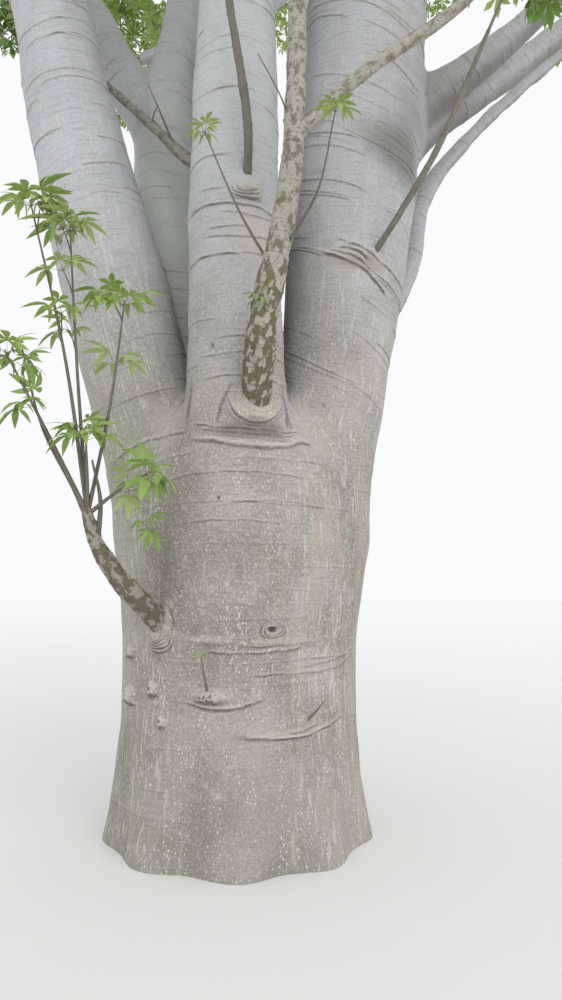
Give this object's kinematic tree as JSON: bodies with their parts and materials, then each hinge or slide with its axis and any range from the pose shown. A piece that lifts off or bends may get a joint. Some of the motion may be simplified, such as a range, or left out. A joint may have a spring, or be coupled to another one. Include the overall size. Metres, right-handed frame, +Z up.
{
  "type": "baobab tree",
  "caption": "Baobab tree with a broad grey trunk, stout upright boughs, old shoots low down and an open crown of digitate leaves.",
  "frame": {"origin": "middle of the flat cut under the trunk, at ground level", "axes": "+Z up along the trunk, -Y towards the side with the long front shoot, +X to that side's right"},
  "size_m": [10.3382, 8.9024, 11.1366],
  "materials": {
    "bark": "smooth grey bark with pale flecks and fine rings",
    "shoot_bark": "grey-brown bark with pale patches",
    "leaf": "soft green leaf"
  },
  "bodies": {
    "root": {"bough_centre": "bark", "bough_centre_front": "bark", "bough_left": "bark", "bough_left_front": "bark", "bough_left_outer": "bark", "bough_rear": "bark", "bough_rear_left": "bark", "bough_rear_left_outer": "bark", "bough_rear_right": "bark", "bough_rear_side": "bark", "bough_right": "bark", "bough_right_front": "bark", "bough_right_outer": "bark", "bough_right_rear": "bark", "centre_shoot": "shoot_bark", "centre_shoot_fork": "shoot_bark", "centre_sprig_left": "leaf", "centre_sprig_right": "leaf", "crotch_foliage": "leaf", "crotch_shoot": "shoot_bark", "foliage_centre": "leaf", "foliage_centre_front": "leaf", "foliage_far_right": "leaf", "foliage_left": "leaf", "foliage_left_front": "leaf", "foliage_left_outer": "leaf", "foliage_limb_lower": "leaf", "foliage_limb_upper": "leaf", "foliage_rear": "leaf", "foliage_rear_left": "leaf", "foliage_rear_left_outer": "leaf", "foliage_rear_right": "leaf", "foliage_rear_side": "leaf", "foliage_right": "leaf", "foliage_right_front": "leaf", "foliage_right_outer": "leaf", "foliage_right_rear": "leaf", "fork_foliage": "leaf", "limb_far_right": "bark", "limb_lower": "bark", "limb_upper": "bark", "low_left_branch": "shoot_bark", "low_left_sprigs": "leaf", "right_shoot": "shoot_bark", "right_shoot_foliage": "leaf", "shoot_foliage": "leaf", "trunk": "bark", "upper_shoot": "shoot_bark", "upper_shoot_foliage": "leaf"}
  },
  "joints": []
}
